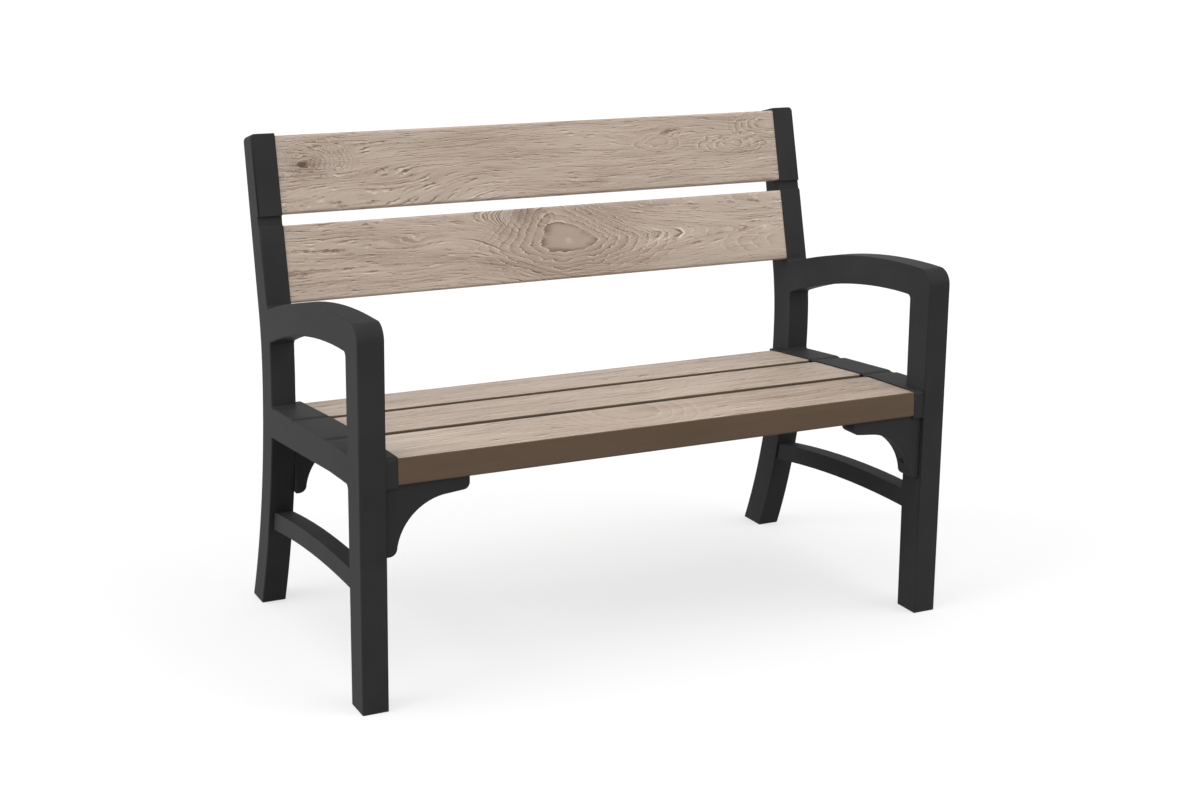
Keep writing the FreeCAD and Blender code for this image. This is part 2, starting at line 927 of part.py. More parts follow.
def back_screws(doc):
    """Two screws forward through the post into each end of each back slat."""
    x = size("frame_thick") - size("overall_width") / 2 - size("back_screw_from_end")
    tilt = size("post_back_tilt")
    lean = size("back_tilt") - tilt
    pieces = []
    for name, (start, wide) in back_places().items():
        for number, share in enumerate(BACK_SCREW_SHARES, start=1):
            run = start + wide * share
            depth = size("post_top_depth") + (size("post_top_run") - run) * tangent(lean)
            inward, up = on_back(run, depth)
            label = f"{name}_back_screw_{number}"
            place = (x, to_middle(inward), up)
            pieces.append(screw_head(doc, label, place, (-1, 0, 0), 90 + tilt))
    return group(doc, "back_screws", pieces)


def bracket_screws(doc, name, inward, place):
    """One screw up into the slat and one in a recess, sideways into the leg."""
    leg = size("frame_thick") - size("overall_width") / 2
    top = bracket_top(place, inward)
    bend_end_in = size("bracket_bend_end_in")
    bend_end_up = top - size("bracket_bend_end_drop")
    lobe_run = size("bracket_reach") - size("bracket_corner") - bend_end_in
    lobe_rise = size("bracket_bend_end_drop") - size("bracket_seat_lobe")
    along = size("bracket_screw_in") - bend_end_in
    upward = (
        leg + size("bracket_screw_in"),
        to_middle(inward + size("bracket_screw_back")),
        bend_end_up + along * lobe_rise / lobe_run,
    )
    sideways = (
        leg + size("bracket_recess_floor"),
        to_middle(inward + size("bracket_thick") / 2),
        top - size("bracket_recess_under"),
    )
    turn = 180 - arc_tangent(lobe_rise / lobe_run)
    return group(
        doc,
        f"{name}_bracket_screws",
        [
            screw_head(doc, f"{name}_upward_screw", upward, (0, 1, 0), turn),
            screw_head(doc, f"{name}_sideways_screw", sideways, (0, 1, 0), plain(90)),
        ],
    )


# Putting the bench together


def to_middle(inward):
    return inward - size("overall_depth") / 2


def move_to_middle(body):
    bind(body, "Placement.Base.y", -size("overall_depth") / 2)


def mirrored(doc, name, source):
    made = doc.addObject("Part::Mirroring", name)
    made.Source = source
    made.Normal = Vector(1, 0, 0)
    return made


def build():
    os.makedirs("parts", exist_ok=True)
    doc = FreeCAD.newDocument("bench")
    fill_sheet(doc)
    seats = seat_places()

    frame = new_body(doc, "side_frame_body")
    draw_post(frame)
    draw_arm_and_leg(frame)
    draw_rail(frame, seats)
    draw_stretcher(frame)
    round_corners(frame, seats)
    round_arrises(frame)
    cut_groove(frame)
    cut_sockets(frame, seats)

    slats = {f"seat_slat_{n}": seat_slat(doc, n, place) for n, place in seats.items()}
    for name, (start, wide) in back_places().items():
        slats[f"back_slat_{name}"] = back_slat(doc, name, start, wide)

    brackets, bracket_groups = {}, {}
    for end, inward, seat in (
        ("front", size("front_bracket_in"), seats["front"]),
        ("rear", size("rear_bracket_in"), seats["rear"]),
    ):
        brackets[end] = bracket(doc, end, inward, seat)
        bracket_groups[end] = bracket_screws(doc, end, inward, seat)

    for body in (frame, *slats.values(), *brackets.values()):
        move_to_middle(body)
    left = {"seat_screws": seat_screws(doc, seats), "back_screws": back_screws(doc)}
    for end, screws in bracket_groups.items():
        left[f"bracket_screws_{end}"] = screws

    nodes = {"side_frame_left": frame, **slats}
    for end, body in brackets.items():
        nodes[f"corner_bracket_{end}_left"] = body
    for name, screws in left.items():
        nodes[f"{name}_left"] = screws
    for name in list(nodes):
        if name.endswith("_left"):
            other = name.replace("_left", "_right")
            nodes[other] = mirrored(doc, other, nodes[name])
    doc.recompute()
    return doc, nodes


def check(doc, nodes):
    """Stop before anything is written if a feature failed or a shape is not sound."""
    for thing in doc.Objects:
        if {"Invalid", "Error"} & set(thing.State):
            raise SystemExit(f"{thing.Name} failed: {thing.State}")
    for name, node in nodes.items():
        shape = node.Shape
        if shape.isNull() or not shape.isValid() or shape.Volume <= 0:
            raise SystemExit(f"{name} is not a sound solid")


def export(nodes):
    for name, node in nodes.items():
        node.Label = name
        node.Shape.exportStep(f"parts/{name}.step")
        box = node.Shape.BoundBox
        print(
            f"{name}: {len(node.Shape.Solids)} solids, {node.Shape.Volume / 1000:.1f} cm3,"
            f" x {box.XMin:.1f} {box.XMax:.1f}, y {box.YMin:.1f} {box.YMax:.1f},"
            f" z {box.ZMin:.1f} {box.ZMax:.1f}"
        )


document, parts = build()
check(document, parts)
export(parts)
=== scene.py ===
"""A garden bench: dark moulded side frames, slats with an embossed oak look, curved corner brackets."""

import math

import bmesh
import bpy
from mathutils import Matrix, Vector


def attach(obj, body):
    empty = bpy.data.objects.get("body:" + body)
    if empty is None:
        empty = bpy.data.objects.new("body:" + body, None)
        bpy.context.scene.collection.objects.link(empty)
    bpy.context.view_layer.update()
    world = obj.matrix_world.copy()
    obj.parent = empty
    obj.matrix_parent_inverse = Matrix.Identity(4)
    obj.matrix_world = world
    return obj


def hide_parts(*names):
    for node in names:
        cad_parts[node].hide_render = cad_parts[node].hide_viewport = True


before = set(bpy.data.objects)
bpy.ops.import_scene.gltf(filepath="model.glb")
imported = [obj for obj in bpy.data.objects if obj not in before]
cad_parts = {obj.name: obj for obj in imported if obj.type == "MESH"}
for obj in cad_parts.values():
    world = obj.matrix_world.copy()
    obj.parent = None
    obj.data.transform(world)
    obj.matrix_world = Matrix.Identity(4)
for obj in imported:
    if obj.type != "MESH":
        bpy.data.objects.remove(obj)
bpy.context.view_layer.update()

MM = 0.001


def colour(written):
    """The linear colour of an sRGB hex value."""
    parts = [int(written[i : i + 2], 16) / 255 for i in (1, 3, 5)]
    return [c / 12.92 if c <= 0.04045 else ((c + 0.055) / 1.055) ** 2.4 for c in parts] + [1]


def add(tree, kind, inputs=None, stops=None, **settings):
    """A node with its settings and links.

    Each input is a number, a node or one of a node's outputs, and stops are the colours of a ramp.
    """
    made = tree.nodes.new("ShaderNode" + kind)
    for name, value in settings.items():
        setattr(made, name, value)
    for name, value in (inputs or {}).items():
        if isinstance(value, bpy.types.Node):
            value = value.outputs["Value" if "Value" in value.outputs else 0]
        if isinstance(value, bpy.types.NodeSocket):
            tree.links.new(value, made.inputs[name])
        else:
            made.inputs[name].default_value = value
    for at, shade in stops or []:
        step = made.color_ramp.elements.new(at)
        step.color = shade
    if stops:
        made.color_ramp.elements.remove(made.color_ramp.elements[0])
        made.color_ramp.elements.remove(made.color_ramp.elements[-1])
    return made


def new_material(name):
    """An empty material, and the tree for its nodes."""
    made = bpy.data.materials.new(name)
    made.use_nodes = True
    tree = made.node_tree
    tree.nodes.clear()
    return made, tree


def surface(tree, inputs):
    """The plain shader of a solid surface, and the material's output."""
    shader = add(tree, "BsdfPrincipled", inputs)
    add(tree, "OutputMaterial", {"Surface": shader})


# Camera

def aim_camera():
    """The photograph's standpoint: left of the bench, above the arms, with a long lens."""
    place = (-1.5248, -3.0576, 1.3208)
    yaw, pitch, roll = 0.4531, 0.2162, 0.0086
    ahead = Vector((math.sin(yaw) * math.cos(pitch), math.cos(yaw) * math.cos(pitch), -math.sin(pitch)))
    right = Vector((math.cos(yaw), -math.sin(yaw), 0))
    up = right.cross(ahead)
    leaning_right = math.cos(roll) * right + math.sin(roll) * up
    leaning_up = math.cos(roll) * up - math.sin(roll) * right
    turned = Matrix((leaning_right, leaning_up, -ahead)).transposed().to_4x4()
    lens = bpy.data.cameras.new("camera")
    lens.sensor_width = 36
    lens.lens = 58
    lens.shift_x = 0.0201
    lens.shift_y = -0.0806
    camera = bpy.data.objects.new("camera", lens)
    camera.matrix_world = Matrix.Translation(place) @ turned
    bpy.context.scene.collection.objects.link(camera)
    bpy.context.scene.camera = camera


aim_camera()

# Materials

PLASTIC_IOR = 1.49
# Grit of 0.3 mm on the moulded faces, drawn at 1.5 mm so that it shows
GRIT = 1.5 * MM
GRIT_DEPTH = 0.12 * MM


def graphite_moulding():
    """Polypropylene, injection moulded in a spark-eroded mould: an even grit, so a dull satin face
    that is nearly black from the front and lighter where it is seen at a slant."""
    made, tree = new_material("graphite_moulding")
    place = add(tree, "TexCoord").outputs["Object"]
    # Faint clouds some 110 mm wide
    cloud = add(tree, "TexNoise", {"Vector": place, "Scale": 9, "Detail": 3, "Roughness": 0.55})
    tone = add(tree, "ValToRGB", {"Fac": cloud}, [(0.3, colour("#2b2b2c")), (0.7, colour("#323233"))])
    grit = add(tree, "TexNoise", {"Vector": place, "Scale": 1 / GRIT, "Detail": 2, "Roughness": 0.7})
    gloss = add(tree, "MapRange", {"Value": cloud, "To Min": 0.56, "To Max": 0.66})
    bump = add(tree, "Bump", {"Height": grit, "Distance": GRIT_DEPTH, "Strength": 0.6})
    inputs = {"Base Color": tone, "Roughness": gloss, "Normal": bump}
    surface(tree, {**inputs, "IOR": PLASTIC_IOR, "Specular IOR Level": 0.07})
    return made


def brown_core(name, dark, light):
    """Polypropylene, moulded and left plain below the embossed face: an even dull brown."""
    made, tree = new_material(name)
    place = add(tree, "TexCoord").outputs["Object"]
    # Flow marks some 200 mm long and 12 mm high
    moved = add(tree, "Mapping", {"Vector": place, "Scale": (1 / 0.2, 1 / 0.012, 1 / 0.012)})
    marks = add(tree, "TexNoise", {"Vector": moved, "Scale": 1, "Detail": 3, "Roughness": 0.55})
    tone = add(tree, "ValToRGB", {"Fac": marks}, [(0.3, colour(dark)), (0.7, colour(light))])
    grit = add(tree, "TexNoise", {"Vector": place, "Scale": 1 / GRIT, "Detail": 2, "Roughness": 0.7})
    bump = add(tree, "Bump", {"Height": grit, "Distance": GRIT_DEPTH, "Strength": 0.6})
    inputs = {"Base Color": tone, "Roughness": 0.6, "Normal": bump}
    surface(tree, {**inputs, "IOR": PLASTIC_IOR, "Specular IOR Level": 0.15})
    return made


def turned_steel():
    """Zinc-plated steel, turned and stamped: a grey satin metal with a faint haze."""
    made, tree = new_material("zinc_plated_steel")
    place = add(tree, "TexCoord").outputs["Object"]
    # The plating's haze is some 3 mm wide
    haze = add(tree, "TexNoise", {"Vector": place, "Scale": 1 / (3 * MM), "Detail": 3, "Roughness": 0.6})
    tone = add(tree, "ValToRGB", {"Fac": haze}, [(0.3, colour("#8f9092")), (0.7, colour("#a9aaab"))])
    gloss = add(tree, "MapRange", {"Value": haze, "To Min": 0.3, "To Max": 0.42})
    bump = add(tree, "Bump", {"Height": haze, "Distance": 0.05 * MM, "Strength": 0.5})
    surface(tree, {"Base Color": tone, "Metallic": 1.0, "Roughness": gloss, "Normal": bump})
    return made


# The wood's lines. Each size is in millimetres along and across a plank, and through it where there
# is a third. Oak's real pores are 0.3 mm across: no line here is finer than 1.7 mm, because thinner
# ones don't show in the render.
DRIFT = (340, 62, 200)
RAGGED = (15, 4.5, 20)
CLOUDS = (240, 20, 1)
FIBRES = (95, 1.8)
PORES = (42, 2.0)
HAIRS = (190, 1.9)
BROAD_RINGS = (130, 22, 60)
TORN = (15, 1.7, 30)
WAVED = (40, 14, 30)
BROKEN = (28, 9, 30)
RING_GAP = 7.0
# How far a line is moved, in millimetres
DRIFT_SHIFT = 40
RAGGED_SHIFT = 3.6
TORN_SHIFT = 8
WAVED_SHIFT = 9
# A pore's painted highlight lies this share of its width beside it
PORE_SIDE = 0.9
# How much each lightens or darkens the wood, as a share of its whole range of tones
CLOUD_TONE = 0.09
FIBRE_TONE = 0.11
PORE_TONE = -0.3
# The light side of a pore is a painted highlight
PORE_HIGHLIGHT_TONE = 0.25
HAIR_TONE = -0.18
RING_TONE = 0.34
FIGURE_TONE = 0.75
LINE_LIMITS = (-0.42, 0.27)
# One ring from its inner to its outer edge: how light it is, with 0.5 as the wood's own tone. The dark part
# is the wood's colour; the light edge beside it is a painted highlight of the embossed relief
LATE_WOOD_AND_HIGHLIGHT = [(0.0, 0.8), (0.1, 0.56), (0.2, 0.5), (0.75, 0.46), (0.94, 0.05), (1.0, 0.5)]
# A figure's ring: its dark part is the wood's colour, and the light at its edge is a painted highlight of
# the relief
FIGURE_RING = [(0.0, 0.95), (0.08, 0.9), (0.16, 0.52), (0.65, 0.47), (0.88, 0.22), (0.97, 0.0), (1.0, 0.85)]
OAK_TONES = [(0.0, "#5d4c40"), (0.25, "#8f7c6d"), (0.5, "#b5a597"), (0.75, "#cdbfb2"), (1.0, "#e6dbd1")]
EMBOSS_DEPTH = 0.5 * MM
# Square millimetres added at the root of the loops round a branch, where their formula would divide by 0
LOOP_ROOT = 30
# Inside a figure only this share of the fibres is left, and from the second distance on all of them
CALM_KEPT = 0.12
CALM_REACH = (0.95, 2.6)


def grain(tree, place, lengths, seed, detail=2.0, roughness=0.5, beside=0.0):
    """Noise with spots of those lengths in millimetres along, across and through a plank.

    It runs mostly from 0.25 to 0.75. Each use adds its own number to the plank's seed, so that no two
    patterns line up.
    """
    inputs = {
        "Vector": place,
        "Location": (seed, seed + beside, seed),
        "Scale": [1 / length for length in lengths],
    }
    moved = add(tree, "Mapping", inputs)
    return add(tree, "TexNoise", {"Vector": moved, "Scale": 1, "Detail": detail, "Roughness": roughness})


def across_ring(tree, share, levels):
    """The shade of a spot that lies that share of the way across a ring: 0 is the wood's own tone."""
    stops = [(at, (level,) * 3 + (1,)) for at, level in levels]
    shade = add(tree, "ValToRGB", {"Fac": share}, stops)
    return add(tree, "Math", {0: shade, 1: 0.5}, operation="SUBTRACT")


def rise(tree, place, middle, reach, height):
    """A swelling of the plank's rings round one spot: lines of even height part round it."""
    moved = add(tree, "VectorMath", {0: place, 1: (*middle, 0)}, operation="SUBTRACT")
    scaled = add(tree, "VectorMath", {0: moved, 1: (1 / reach[0], 1 / reach[1], 0)}, operation="MULTIPLY")
    square = add(tree, "VectorMath", {0: scaled, 1: scaled}, operation="DOT_PRODUCT")
    fall = add(tree, "Math", {0: 1 / math.e, 1: square}, operation="POWER")
    return add(tree, "Math", {0: fall, 1: height}, operation="MULTIPLY")


def stem_loops(tree, along, across, root, reach, lean, stretch):
    """Rings cut close to a branch: inside a circle they loop back to its root, outside they pass round."""
    right = add(tree, "Math", {0: along, 1: root[0]}, operation="SUBTRACT")
    down = add(tree, "Math", {0: root[1], 1: across}, operation="SUBTRACT")
    share = add(tree, "Math", {0: right, 1: stretch}, operation="DIVIDE")
    short = add(tree, "Math", {0: share}, operation="TANH")
    near = add(tree, "Math", {0: short, 1: stretch}, operation="MULTIPLY")
    skewed = add(tree, "Math", {0: down, 1: -lean[0], 2: near}, operation="MULTIPLY_ADD")
    wide = add(tree, "Math", {0: skewed, 1: lean[1]}, operation="DIVIDE")
    square = add(tree, "Math", {0: wide, 1: wide, 2: LOOP_ROOT}, operation="MULTIPLY_ADD")
    spread = add(tree, "Math", {0: down, 1: down, 2: square}, operation="MULTIPLY_ADD")
    inside = add(tree, "Math", {0: reach * reach, 1: spread}, operation="DIVIDE")
    outside = add(tree, "Math", {0: 1, 1: inside}, operation="SUBTRACT")
    flow = add(tree, "Math", {0: down, 1: outside}, operation="MULTIPLY")
    share = add(tree, "Math", {0: flow, 1: reach}, operation="DIVIDE")
    turned = add(tree, "Math", {0: share}, operation="ARCTANGENT")
    return add(tree, "Math", {0: turned, 1: -reach}, operation="MULTIPLY")


def eye(tree, place, middle, reach, lean=0.0, narrow=0.0):
    """How far out of an oval a spot lies: 0 in its middle and 1 on its edge.

    The oval reaches that far to the left, right, down and up. Its upper part may lean and narrow.
    """
    left, right, down, up = reach
    moved = add(tree, "VectorMath", {0: place, 1: (*middle, 0)}, operation="SUBTRACT")
    if lean or narrow:
        split = add(tree, "SeparateXYZ", {"Vector": moved})
        over = add(tree, "Math", {0: split.outputs["Y"], 1: 0}, operation="MAXIMUM")
        leaning = add(tree, "Math", {0: over, 1: lean, 2: split.outputs["X"]}, operation="MULTIPLY_ADD")
        tighter = add(tree, "Math", {0: over, 1: narrow, 2: 1}, operation="MULTIPLY_ADD")
        drawn = add(tree, "Math", {0: leaning, 1: tighter}, operation="MULTIPLY")
        moved = add(tree, "CombineXYZ", {"X": drawn, "Y": split.outputs["Y"]})
    first = add(tree, "VectorMath", {0: moved, 1: (1 / right, 1 / up, 0)}, operation="MULTIPLY")
    second = add(tree, "VectorMath", {0: moved, 1: (-1 / left, -1 / down, 0)}, operation="MULTIPLY")
    shares = add(tree, "VectorMath", {0: first, 1: second}, operation="MAXIMUM")
    return add(tree, "VectorMath", {0: shares}, operation="LENGTH")


def ring_shade(tree, out, gap, far, broken, weight):
    """Rings round an oval: each darkens slowly outwards and ends in a light edge, a highlight of the emboss
    painted into the colour.
    """
    outside = add(tree, "Math", {0: out, 1: 1}, operation="SUBTRACT")
    count = add(tree, "Math", {0: outside, 1: gap}, operation="DIVIDE")
    count = add(tree, "Math", {0: count, 1: outside}, operation="MAXIMUM")
    share = add(tree, "Math", {0: count}, operation="FRACT")
    shade = across_ring(tree, share, FIGURE_RING)
    fade = add(tree, "MapRange", {"Value": out, "From Min": far, "From Max": 0.6 * far + 0.4})
    fade = add(tree, "Math", {0: fade, 1: weight}, operation="MULTIPLY")
    faded = add(tree, "Math", {0: shade, 1: fade}, operation="MULTIPLY")
    return add(tree, "Math", {0: faded, 1: broken}, operation="MULTIPLY")


def ring_field(tree, flat, along, across, seed, rises, slope, loops):
    """How high a spot lies among the rings, in millimetres: they run along the plank, drift a little,
    and part round the figures."""
    drift = grain(tree, flat, DRIFT, seed, 1.5, 0.45)
    base = stem_loops(tree, along, across, *loops) if loops else across
    field = add(tree, "Math", {0: drift, 1: DRIFT_SHIFT, 2: base}, operation="MULTIPLY_ADD")
    for spot in rises:
        field = add(tree, "Math", {0: field, 1: rise(tree, flat, *spot)}, operation="ADD")
    if slope:
        (left, right), (top, bottom), height = slope
        ends = {"Value": along, "From Min": right, "From Max": left}
        run = add(tree, "MapRange", ends, interpolation_type="SMOOTHSTEP")
        low = add(tree, "MapRange", {"Value": across, "From Min": top, "From Max": bottom})
        lift = add(tree, "Math", {0: run, 1: low}, operation="MULTIPLY")
        field = add(tree, "Math", {0: lift, 1: height, 2: field}, operation="MULTIPLY_ADD")
    ragged = grain(tree, flat, RAGGED, seed + 5, 2, 0.6)
    return add(tree, "Math", {0: ragged, 1: RAGGED_SHIFT, 2: field}, operation="MULTIPLY_ADD")


def around_middle(tree, noise, strength):
    """Noise turned to tones on both sides of nothing."""
    limits = {"From Min": 0.25, "From Max": 0.75, "To Min": -strength, "To Max": strength}
    return add(tree, "MapRange", {"Value": noise, **limits}, clamp=False)


def fibre_lines(tree, flat, field, follow, seed, coarse):
    """The fibres, pores, hairs and rings of a plank, as one shade. Coarse makes them wider across."""
    fibres = grain(tree, follow, (FIBRES[0], FIBRES[1] * coarse, 1), seed + 14, 3, 0.6)
    # A pore is a dark sunk groove, and the light its lower side would catch is painted beside it as a
    # highlight
    pore_size = (PORES[0], PORES[1] * coarse, 1)
    pores = grain(tree, follow, pore_size, seed + 21, 2, 0.5)
    sunk = add(tree, "MapRange", {"Value": pores, "From Min": 0.59, "From Max": 0.66})
    sides = grain(tree, follow, pore_size, seed + 21, 2, 0.5, beside=PORE_SIDE)
    pore_highlight = add(tree, "MapRange", {"Value": sides, "From Min": 0.6, "From Max": 0.68})
    hairs = grain(tree, follow, (HAIRS[0], HAIRS[1] * coarse, 1), seed + 61, 1, 0.4)
    hairs = add(tree, "MapRange", {"Value": hairs, "From Min": 0.62, "From Max": 0.68})
    spaced = add(tree, "Math", {0: field, 1: RING_GAP}, operation="DIVIDE")
    # Dark rings of the wood's colour, each with a painted highlight at its edge
    late_and_highlight = across_ring(tree, add(tree, "Math", {0: spaced}, operation="FRACT"), LATE_WOOD_AND_HIGHLIGHT)
    # The rings show in some broad places and not in others
    broad = grain(tree, flat, BROAD_RINGS, seed + 30, 1)
    strong = add(tree, "MapRange", {"Value": broad, "From Min": 0.42, "From Max": 0.62})
    late_and_highlight = add(tree, "Math", {0: late_and_highlight, 1: strong}, operation="MULTIPLY")

    lines = around_middle(tree, fibres, FIBRE_TONE)
    for shade, strength in (
        (sunk, PORE_TONE),
        (pore_highlight, PORE_HIGHLIGHT_TONE),
        (hairs, HAIR_TONE),
        (late_and_highlight, RING_TONE),
    ):
        lines = add(tree, "Math", {0: shade, 1: strength, 2: lines}, operation="MULTIPLY_ADD")
    return lines


def torn_place(tree, flat, seed):
    """The plank's surface moved a little by its fibre ends, so that the figures' edges are ragged."""
    torn = grain(tree, flat, TORN, seed + 40, 1)
    torn = add(tree, "MapRange", {"Value": torn, "To Min": -TORN_SHIFT, "To Max": TORN_SHIFT})
    waved = grain(tree, flat, WAVED, seed + 43, 1)
    waved = add(tree, "MapRange", {"Value": waved, "To Min": -WAVED_SHIFT, "To Max": WAVED_SHIFT})
    shift = add(tree, "CombineXYZ", {"X": torn, "Y": waved})
    return add(tree, "VectorMath", {0: flat, 1: shift}, operation="ADD")


def oak_plank(name, centre, tilt, seed, rises=(), slope=None, loops=None, figures=(), spots=(), coarse=1.0):
    """Polypropylene moulded against an embossed oak face and toned greige: long fibres that part
    round the figure, short sunk pores, and ring edges and pore sides with painted highlights.

    Every place is in millimetres along and across the plank from its middle. Rises, the slope and the
    loops bend the rings, figures are ovals with rings of their own, and spots darken or lighten.
    """
    made, tree = new_material(name)
    place = add(tree, "TexCoord").outputs["Object"]
    in_plank = {"Vector": place, "Location": centre, "Rotation": (tilt, 0, 0), "Scale": (MM, MM, MM)}
    flat = add(tree, "Mapping", in_plank, vector_type="TEXTURE")
    split = add(tree, "SeparateXYZ", {"Vector": flat})
    along, across = split.outputs["X"], split.outputs["Y"]
    field = ring_field(tree, flat, along, across, seed, rises, slope, loops)
    follow = add(tree, "CombineXYZ", {"X": along, "Y": field})
    tone = around_middle(tree, grain(tree, follow, CLOUDS, seed + 9, 2, 0.5), CLOUD_TONE)
    lines = fibre_lines(tree, flat, field, follow, seed, coarse)

    moved = torn_place(tree, flat, seed)
    broken = grain(tree, flat, BROKEN, seed + 50, 2)
    broken = add(tree, "MapRange", {"Value": broken, "From Min": 0.35, "From Max": 0.6, "To Min": 0.25})
    calm = None
    shades = []
    for figure in figures:
        lean, narrow = figure.get("lean", 0), figure.get("narrow", 0)
        out = eye(tree, moved, figure["middle"], figure["reach"], lean, narrow)
        shade = ring_shade(tree, out, figure["gap"], figure["far"], broken, figure.get("weight", 1))
        if "starts" in figure:
            first, full = figure["starts"]
            shown = add(tree, "MapRange", {"Value": along, "From Min": first, "From Max": full})
            shade = add(tree, "Math", {0: shade, 1: shown}, operation="MULTIPLY")
        shades.append(shade)
        inner, outer = CALM_REACH
        faint = {"Value": out, "From Min": inner, "From Max": outer, "To Min": CALM_KEPT}
        still = add(tree, "MapRange", faint)
        calm = add(tree, "Math", {0: calm, 1: still}, operation="MINIMUM") if calm else still
    if calm:
        lines = add(tree, "Math", {0: lines, 1: calm}, operation="MULTIPLY")
        tone = add(tree, "Math", {0: tone, 1: calm}, operation="MULTIPLY")
    for shade in shades:
        lines = add(tree, "Math", {0: shade, 1: FIGURE_TONE, 2: lines}, operation="MULTIPLY_ADD")
    lines = add(tree, "Clamp", {"Value": lines, "Min": LINE_LIMITS[0], "Max": LINE_LIMITS[1]})
    tone = add(tree, "Math", {0: tone, 1: lines}, operation="ADD")
    # A spot is strongest in its middle and fades out at one and a half times its size
    for middle, (wide, high), depth in spots:
        out = eye(tree, moved, middle, (wide, wide, high, high))
        core = add(tree, "MapRange", {"Value": out, "From Min": 1.5, "From Max": 0.3})
        tone = add(tree, "Math", {0: core, 1: -depth, 2: tone}, operation="MULTIPLY_ADD")
    tone = add(tree, "Math", {0: tone, 1: 0.5}, operation="ADD")

    shown = add(tree, "ValToRGB", {"Fac": tone}, [(at, colour(written)) for at, written in OAK_TONES])
    bump = add(tree, "Bump", {"Height": lines, "Distance": EMBOSS_DEPTH, "Strength": 1.0})
    inputs = {"Base Color": shown.outputs["Color"], "Normal": bump, "Roughness": 0.6}
    surface(tree, {**inputs, "IOR": PLASTIC_IOR, "Specular IOR Level": 0.25})
    return made


GRAPHITE = graphite_moulding()
BROWN = brown_core("brown_plank_core", "#584839", "#5d4d3e")
# The sides in the gaps are a deeper brown, painted shade, so the gaps read as thin dark lines
GAP_SHADE_BROWN = brown_core("brown_plank_side_painted_shade", "#3e3228", "#42362b")
STEEL = turned_steel()
BACK_TILT = math.radians(76)
# Each plank's material: its middle, its tilt, its seed and its figure. The seat is seen at a low angle,
# so its lines are drawn coarser.
OAK = {
    "back_slat_lower": oak_plank(
        "weathered_oak_back_lower",
        (0, 0.19775, 0.64595),
        BACK_TILT,
        3.0,
        rises=[((-270, 20), (45, 12), 7)],
        loops=((-30, 78), 125, (1.0, 1.1), 150),
        figures=[
            dict(
                middle=(40, 1),
                reach=(60, 61, 20, 43),
                lean=0.53,
                narrow=0.0133,
                gap=0.36,
                far=4.4,
                starts=(-190, -80),
            ),
            dict(middle=(-8, 50), reach=(16, 14, 13, 12), gap=0.6, far=1.9, weight=0.8),
            dict(middle=(530, -28), reach=(60, 60, 14, 14), gap=0.55, far=3.2, weight=0.5),
        ],
        spots=[
            ((-45, 62), (26, 18), 0.16),
            ((-5, 62), (6, 4), 0.12),
            # Broad patches stand in for the uneven light of the photograph
            ((10, -10), (170, 90), 0.08),
            ((430, 0), (190, 90), -0.08),
        ],
    ),
    "back_slat_upper": oak_plank(
        "weathered_oak_back_upper",
        (0, 0.23634, 0.80072),
        BACK_TILT,
        17.0,
        rises=[
            ((405, 2), (70, 15), 13),
            ((228, 26), (60, 15), 12),
            ((440, 42), (60, 12), 10),
            ((-400, 30), (80, 18), 13),
        ],
        slope=((-330, -60), (12, -72), 42),
        figures=[
            dict(middle=(416, 8), reach=(23, 23, 6, 6), gap=0.8, far=4.5, weight=1.1),
            dict(middle=(498, 44), reach=(30, 30, 10, 10), gap=0.5, far=3.5, weight=1.1),
            dict(middle=(246, 19), reach=(28, 28, 8, 8), gap=0.8, far=2.6, weight=0.55),
            dict(middle=(-469, 18), reach=(5, 9, 3.5, 4.5), gap=1.6, far=13, weight=1.3),
        ],
        spots=[
            ((-469, 18), (8, 5), 0.75),
            ((-460, 17), (24, 12), 0.18),
            ((250, 1), (8, 2), 0.3),
            ((254, 46), (36, 5), 0.07),
        ],
    ),
    "seat_slat_front": oak_plank(
        "weathered_oak_seat_front",
        (0, -0.2298, 0.42186),
        -0.0384,
        31.0,
        rises=[((-40, -20), (120, 20), 30)],
        figures=[dict(middle=(-32, 45), reach=(58, 62, 68, 60), gap=0.34, far=2.6, weight=0.4)],
        # The last two are broad patches of painted light and shade, as on the lower back slat
        spots=[
            ((15, 40), (65, 22), 0.1),
            ((-470, 0), (200, 120), -0.12),
            ((430, 0), (230, 120), 0.1),
        ],
        coarse=2.2,
    ),
    "seat_slat_middle": oak_plank(
        "weathered_oak_seat_middle",
        (0, -0.05808, 0.41248),
        -0.0715,
        47.0,
        coarse=2.4,
    ),
    "seat_slat_rear": oak_plank(
        "weathered_oak_seat_rear",
        (0, 0.11041, 0.39945),
        -0.0837,
        59.0,
        coarse=2.6,
    ),
}

# Pieces

# Points nearer than this are one. Faces that bend less than the first angle are one flat face, less
# than the second are shaded as one smooth face, and more than the third are the wall of a pit.
SEAM = 1e-6
FLAT_BEND = math.radians(0.4)
SMOOTH_BEND = math.radians(32)
FOLD_BEND = math.radians(100)
# Edges shorter than this are closed up when a piece is finished
SPECK = 3e-6
EASE_SEGMENTS = 3

# The upright planes of a side frame's inner faces, from the bench's middle: the post's, and the
# rail's, where a seat slat comes out of it. Only their long edges are eased, because easing the short
# ones of an arc folds the mesh.
POST_INNER = 0.515
SLAT_SHOWN = 0.494
ON_PLANE = 0.01 * MM
POST_EASE = 1.4 * MM
POST_TOP_EASE = 2.0 * MM
# The post's top edges lie above this height, and the foot's edges below the other
POST_TOP_FROM = 0.872
FOOT_TO = 0.001
FOOT_EASE = 2.0 * MM
RAIL_EASE = 1.0 * MM
LONG_EDGE = 6 * MM
FRAME_BEND = math.radians(50)
BRACKET_EASE = 1.4 * MM
# The edges of a bracket's screw pit lie within this distance of its middle
PIT_REACH = 0.012

SLAT_EASE = 1.0 * MM
SLAT_BEND = math.radians(28)
